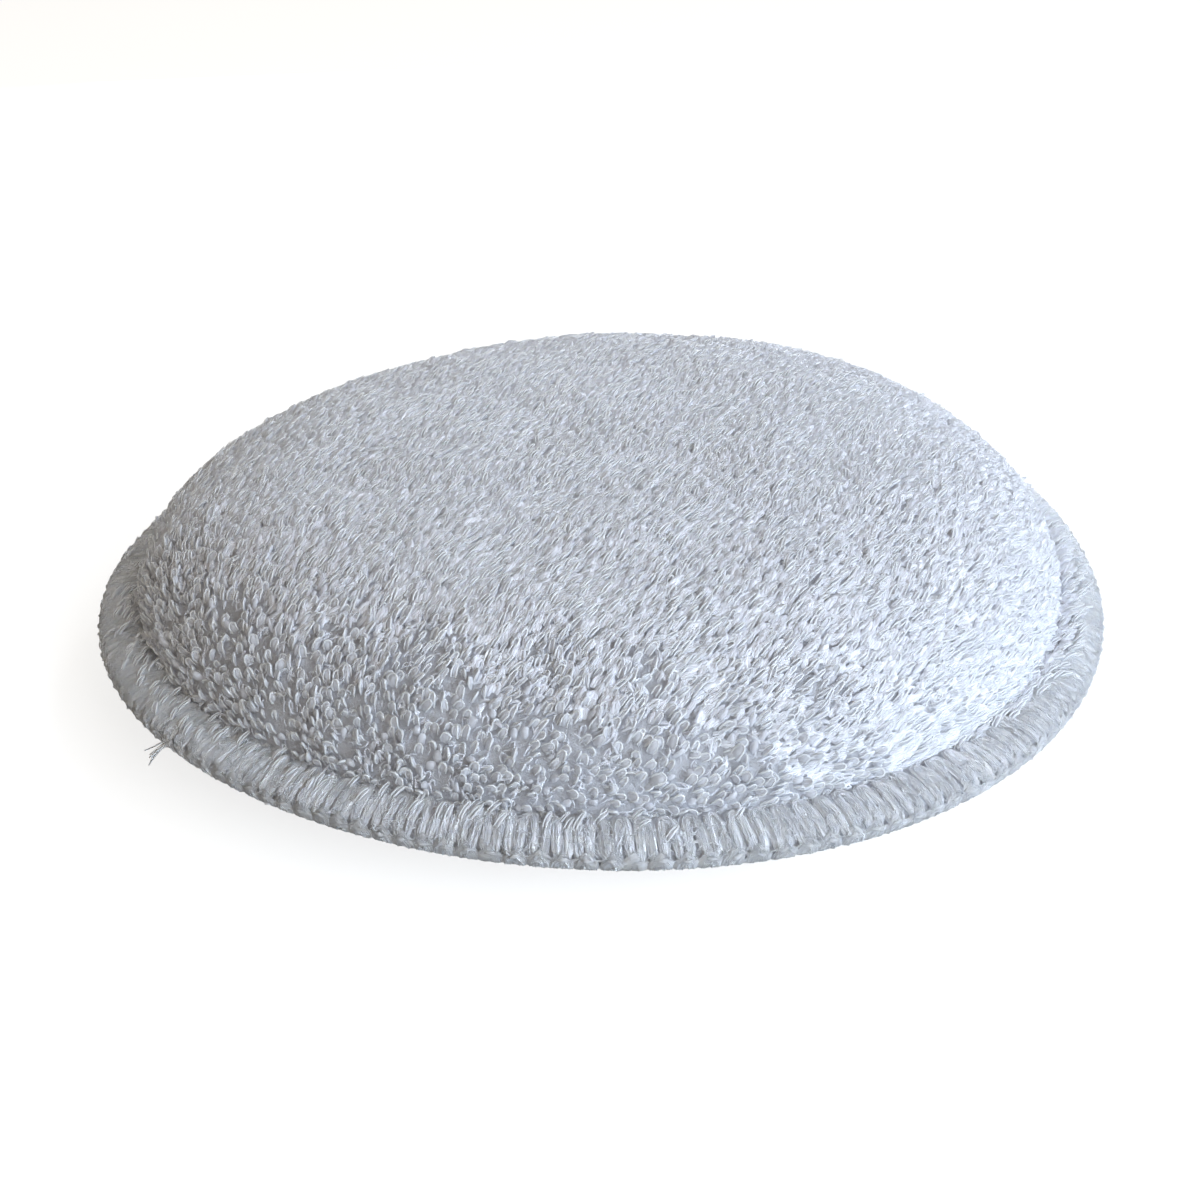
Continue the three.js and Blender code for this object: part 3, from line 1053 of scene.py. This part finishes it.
rim_length = rim_outline(YARN_DEPTH / 2).length
knot_distance = rim_length / 2 + KNOT_DROP
upper_path = looper_path(LOOPER_INSET, knot_distance, UPPER_FULLNESS)
lower_path = looper_path(rim_length - LOOPER_INSET, knot_distance + LOWER_LOOPER_RISE, LOWER_FULLNESS)
looper_yarn("upper_looper_yarn", upper_path, "overlock_upper_looper_thread")
looper_yarn("lower_looper_yarn", lower_path, "overlock_lower_looper_thread")
looper_fibres("upper_looper_fibres", upper_path, strands=11)
looper_fibres("lower_looper_fibres", lower_path, strands=9)
knot_cord()
edge_fuzz()
needle_yarn()


def thread_end():
    """The trimmed end of the stitch chain: a few strands that part at their tips."""
    middle = (tail_low + tail_high) / 2
    azimuth = math.atan2(middle.y, middle.x)
    outward = np.array([math.cos(azimuth), math.sin(azimuth), 0])
    sideways = np.array([-math.sin(azimuth), math.cos(azimuth), 0])
    root = outward * (PAD_RADIUS - YARN_DEPTH) * roundness(azimuth) + UP * (tail_high.z - TAIL_ROOT_DROP)
    share = np.linspace(0, 1, TAIL_RINGS)[:, None]
    tubes = []
    for _ in range(TAIL_STRANDS):
        spread = random.normal(0, TAIL_SPREAD, 2)
        reach = TAIL_LENGTH * random.uniform(*TAIL_LENGTH_SHARES)
        path = root + outward * reach * share - UP * TAIL_DROOP * share**1.5
        path = path + (sideways * spread[0] + UP * spread[1]) * (0.5 + share**2)
        half = STRAND / 2 * (1.1 - 0.5 * share)
        tubes.append(round_tubes(path, unit(np.gradient(path, axis=0)), UP, half, STRAND_SIDES))
    carry(tube_mesh("thread_end", np.array(tubes), YARN), "thread", "thread_tail")


thread_end()


# Floor, light and camera


def seen_directly(tree):
    """1 for the camera and for what shows in metal and glass, 0 for the light that falls on the object."""
    path = add_node(tree, "ShaderNodeLightPath")
    seen = path.outputs["Is Camera Ray"]
    for kind in ("Is Glossy Ray", "Is Transmission Ray"):
        either = add_node(tree, "ShaderNodeMath", operation="MAXIMUM")
        tree.links.new(seen, either.inputs[0])
        tree.links.new(path.outputs[kind], either.inputs[1])
        seen = either.outputs[0]
    return seen


def chosen_shader(tree, share, first, second, output_kind):
    """Shows the first shader where share is 0, and the second where it is 1."""
    choice = add_node(tree, "ShaderNodeMixShader")
    output = add_node(tree, output_kind)
    tree.links.new(share, choice.inputs[0])
    tree.links.new(first.outputs[0], choice.inputs[1])
    tree.links.new(second.outputs[0], choice.inputs[2])
    tree.links.new(choice.outputs[0], output.inputs["Surface"])


def studio_floor():
    """A pale floor that the camera sees as white, and that keeps the pad's shadow."""
    bpy.ops.mesh.primitive_plane_add(size=FLOOR_SIZE, location=(0, 0, 0))
    floor = bpy.context.object
    floor.name = "studio_floor"
    material = bpy.data.materials.new("studio_floor")
    material.use_nodes = True
    tree = material.node_tree
    tree.nodes.clear()
    shown = add_node(tree, "ShaderNodeAddShader")
    glow = add_node(tree, "ShaderNodeEmission", Color=(1, 1, 1, 1), Strength=FLOOR_GLOW)
    lit = add_node(tree, "ShaderNodeBsdfDiffuse", Color=(*FLOOR_COLOUR, 1))
    plain = add_node(tree, "ShaderNodeBsdfDiffuse", Color=(*FLOOR_BOUNCE, 1))
    tree.links.new(glow.outputs[0], shown.inputs[0])
    tree.links.new(lit.outputs[0], shown.inputs[1])
    chosen_shader(tree, seen_directly(tree), plain, shown, "ShaderNodeOutputMaterial")
    floor.data.materials.append(material)


def direction(azimuth, elevation):
    """The way from the middle of the pad towards an azimuth and an elevation, both in degrees."""
    azimuth, elevation = math.radians(azimuth), math.radians(elevation)
    level = math.cos(elevation)
    return Vector((math.cos(azimuth) * level, math.sin(azimuth) * level, math.sin(elevation)))


def room_colour(tree):
    """The room's light runs from a dim side to a bright, warm one."""
    places = add_node(tree, "ShaderNodeTexCoord").outputs["Generated"]
    towards = add_node(tree, "ShaderNodeVectorMath", operation="DOT_PRODUCT")
    towards.inputs[1].default_value = direction(BRIGHT_AZIMUTH, 0)
    tree.links.new(places, towards.inputs[0])
    share = add_node(tree, "ShaderNodeMapRange")
    share.inputs["From Min"].default_value = DIM_EDGE
    tree.links.new(towards.outputs["Value"], share.inputs["Value"])
    return tinted(tree, share.outputs["Result"], (DIM_COLOUR, BRIGHT_COLOUR))


def studio_world():
    """The room lights the pad, and the camera sees it as white."""
    world = bpy.data.worlds.new("studio")
    bpy.context.scene.world = world
    world.use_nodes = True
    tree = world.node_tree
    tree.nodes.clear()
    ambient = add_node(tree, "ShaderNodeBackground", Strength=AMBIENT)
    tree.links.new(room_colour(tree), ambient.inputs["Color"])
    white = add_node(tree, "ShaderNodeBackground", Color=(1, 1, 1, 1), Strength=1.0)
    chosen_shader(tree, seen_directly(tree), ambient, white, "ShaderNodeOutputWorld")


def softbox(name, azimuth, elevation, distance, size, power, colour):
    """A square lamp that faces the middle of the pad."""
    lamp = bpy.data.lights.new(name, "AREA")
    lamp.shape = "SQUARE"
    lamp.size = size
    lamp.energy = power
    lamp.color = colour
    holder = bpy.data.objects.new(name, lamp)
    away = direction(azimuth, elevation)
    holder.location = away * distance
    holder.rotation_euler = away.to_track_quat("Z", "Y").to_euler()
    bpy.context.scene.collection.objects.link(holder)


def photo_camera():
    """The camera looks at the middle of the pad's rim, a little off the middle of the picture."""
    data = bpy.data.cameras.new("photo_camera")
    data.sensor_width = SENSOR_WIDTH
    data.lens = data.sensor_width * FOCAL_PIXELS / PICTURE_PIXELS
    data.shift_x = 0.5 - TARGET_PIXEL[0] / PICTURE_PIXELS
    data.shift_y = TARGET_PIXEL[1] / PICTURE_PIXELS - 0.5
    data.clip_start = NEAREST_SEEN
    camera = bpy.data.objects.new("photo_camera", data)
    target = Vector((0, 0, SEAM_HEIGHT))
    away = Vector((0, -math.cos(CAMERA_ELEVATION), math.sin(CAMERA_ELEVATION)))
    turn = away.to_track_quat("Z", "Y").to_matrix().to_4x4() @ Matrix.Rotation(CAMERA_ROLL, 4, "Z")
    camera.matrix_world = Matrix.Translation(target + away * CAMERA_DISTANCE) @ turn
    bpy.context.scene.collection.objects.link(camera)
    bpy.context.scene.camera = camera


studio_floor()
studio_world()
for lamp_name, settings in LAMPS.items():
    softbox(lamp_name, *settings)
photo_camera()
bpy.context.scene.view_settings.view_transform = "Standard"
